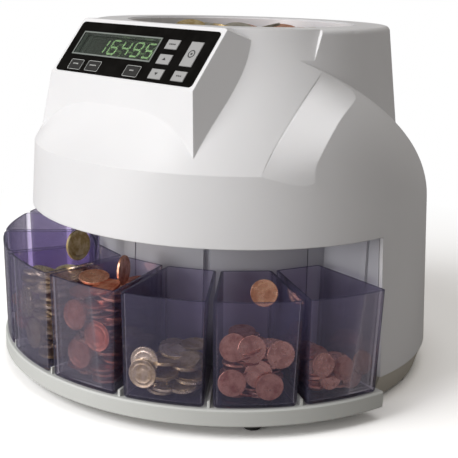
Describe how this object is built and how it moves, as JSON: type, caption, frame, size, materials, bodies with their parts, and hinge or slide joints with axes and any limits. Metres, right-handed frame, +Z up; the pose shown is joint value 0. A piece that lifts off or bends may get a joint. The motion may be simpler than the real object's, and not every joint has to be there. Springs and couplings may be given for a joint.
{
  "type": "coin sorting machine",
  "caption": "Tabletop coin sorter: round hopper above a domed drum, sloping keypad console with digital display, and a fan of clear wedge cups on a curved tray.",
  "frame": {"origin": "middle of the whole outline seen from above, in the plane the feet stand on; the vertical axis of the drum is 9 mm behind it", "axes": "+Z up, -Y towards the front (console and cups), +X to the right-hand side seen from the front"},
  "size_m": [0.3558, 0.3416, 0.262],
  "materials": {
    "housing": "satin, lightly grained",
    "base_grey": "matt",
    "tray_grey": "satin",
    "drum_grey": "satin",
    "foot_rubber": "matt",
    "smoke_clear": "clear, polished, smoke violet tint",
    "bowl_white": "gloss",
    "overlay_black": "gloss film",
    "window_clear": "clear, polished",
    "trim_light": "gloss",
    "key_grey": "satin",
    "key_black": "satin",
    "module_dark": "gloss",
    "board_green": "solder mask",
    "steel": "brushed",
    "aluminium": "turned",
    "zinc_screw": "bright zinc",
    "gear_white": "moulded",
    "brass": "machined",
    "connector_black": "matt",
    "sensor_black": "matt",
    "cable_sleeve": "matt",
    "cap_grey": "gloss"
  },
  "bodies": {
    "frame": {"outer_housing": "housing", "base_plate": "base_grey", "cup_tray": "tray_grey", "rubber_feet": "foot_rubber", "inner_drum": "drum_grey", "chute_ring": "drum_grey", "hopper_bowl": "bowl_white", "sorting_rail": "aluminium", "shaft_bearings": "zinc_screw", "bearing_housing": "aluminium", "drive_deck": "steel", "deck_posts": "steel", "gear_motor": "steel", "motor_bracket": "steel", "panel_overlay": "overlay_black", "display_window": "window_clear", "window_trim": "trim_light", "display_module": "module_dark", "control_board": "board_green", "panel_spacers": "brass", "coin_sensors": "sensor_black", "sensor_board": "board_green", "main_board": "board_green", "power_supply": "aluminium", "board_standoffs": "brass", "power_inlet": "connector_black", "power_switch_frame": "connector_black", "data_port": "steel", "base_screws": "zinc_screw", "deck_screws": "zinc_screw", "inlet_screws": "zinc_screw", "wiring_loom": "cable_sleeve"},
    "cup_body_1": {"cup_1": "smoke_clear"},
    "cup_body_2": {"cup_2": "smoke_clear"},
    "cup_body_3": {"cup_3": "smoke_clear"},
    "cup_body_4": {"cup_4": "smoke_clear"},
    "cup_body_5": {"cup_5": "smoke_clear"},
    "cup_body_6": {"cup_6": "smoke_clear"},
    "cup_body_7": {"cup_7": "smoke_clear"},
    "cup_body_8": {"cup_8": "smoke_clear"},
    "turntable": {"coin_disc": "aluminium", "disc_cap": "cap_grey", "disc_hub": "steel", "drive_shaft": "steel", "drive_gear": "gear_white"},
    "motor_output": {"motor_pinion": "brass", "motor_shaft": "steel"},
    "rocker_body": {"power_rocker": "key_black"},
    "key_start_stop_body": {"key_start_stop": "key_grey"},
    "key_mode_body": {"key_mode": "key_grey"},
    "key_up_body": {"key_up": "key_grey"},
    "key_down_body": {"key_down": "key_grey"},
    "key_enter_body": {"key_enter": "key_grey"},
    "key_print_body": {"key_print": "key_black"},
    "key_clear_body": {"key_clear": "key_black"},
    "key_total_body": {"key_total": "key_black"}
  },
  "joints": [
    {"name": "cup_slide_1", "type": "slide", "parent": "frame", "child": "cup_body_1", "axis": [-0.9438, -0.3305, 0], "range_m": [0, 0.075]},
    {"name": "cup_slide_2", "type": "slide", "parent": "frame", "child": "cup_body_2", "axis": [-0.7716, -0.6361, 0], "range_m": [0, 0.075]},
    {"name": "cup_slide_3", "type": "slide", "parent": "frame", "child": "cup_body_3", "axis": [-0.5045, -0.8634, 0], "range_m": [0, 0.075]},
    {"name": "cup_slide_4", "type": "slide", "parent": "frame", "child": "cup_body_4", "axis": [-0.1754, -0.9845, 0], "range_m": [0, 0.075]},
    {"name": "cup_slide_5", "type": "slide", "parent": "frame", "child": "cup_body_5", "axis": [0.1754, -0.9845, 0], "range_m": [0, 0.075]},
    {"name": "cup_slide_6", "type": "slide", "parent": "frame", "child": "cup_body_6", "axis": [0.5045, -0.8634, 0], "range_m": [0, 0.075]},
    {"name": "cup_slide_7", "type": "slide", "parent": "frame", "child": "cup_body_7", "axis": [0.7716, -0.6361, 0], "range_m": [0, 0.075]},
    {"name": "cup_slide_8", "type": "slide", "parent": "frame", "child": "cup_body_8", "axis": [0.9438, -0.3305, 0], "range_m": [0, 0.075]},
    {"name": "disc_spin", "type": "hinge", "parent": "frame", "child": "turntable", "pos_m": [0, 0.017, 0.18], "axis": [0, 0, 1], "continuous": true},
    {"name": "pinion_spin", "type": "hinge", "parent": "frame", "child": "motor_output", "pos_m": [0.0375, 0.017, 0.141], "axis": [0, 0, 1], "continuous": true},
    {"name": "power_rocker_tilt", "type": "hinge", "parent": "frame", "child": "rocker_body", "pos_m": [0.01, 0.155, 0.043], "axis": [1, 0, 0], "range_deg": [-18, 0]},
    {"name": "key_start_stop_press", "type": "slide", "parent": "frame", "child": "key_start_stop_body", "axis": [0, 0.7791, -0.6269], "range_m": [0, 0.0005], "stiffness_N_per_m": 400},
    {"name": "key_mode_press", "type": "slide", "parent": "frame", "child": "key_mode_body", "axis": [0, 0.7791, -0.6269], "range_m": [0, 0.0005], "stiffness_N_per_m": 400},
    {"name": "key_up_press", "type": "slide", "parent": "frame", "child": "key_up_body", "axis": [0, 0.7791, -0.6269], "range_m": [0, 0.0005], "stiffness_N_per_m": 400},
    {"name": "key_down_press", "type": "slide", "parent": "frame", "child": "key_down_body", "axis": [0, 0.7791, -0.6269], "range_m": [0, 0.0005], "stiffness_N_per_m": 400},
    {"name": "key_enter_press", "type": "slide", "parent": "frame", "child": "key_enter_body", "axis": [0, 0.7791, -0.6269], "range_m": [0, 0.0005], "stiffness_N_per_m": 400},
    {"name": "key_print_press", "type": "slide", "parent": "frame", "child": "key_print_body", "axis": [0, 0.7791, -0.6269], "range_m": [0, 0.0005], "stiffness_N_per_m": 400},
    {"name": "key_clear_press", "type": "slide", "parent": "frame", "child": "key_clear_body", "axis": [0, 0.7791, -0.6269], "range_m": [0, 0.0005], "stiffness_N_per_m": 400},
    {"name": "key_total_press", "type": "slide", "parent": "frame", "child": "key_total_body", "axis": [0, 0.7791, -0.6269], "range_m": [0, 0.0005], "stiffness_N_per_m": 400}
  ],
  "couplings": [
    {"joint": "pinion_spin", "follows": "disc_spin", "ratio": -4}
  ]
}
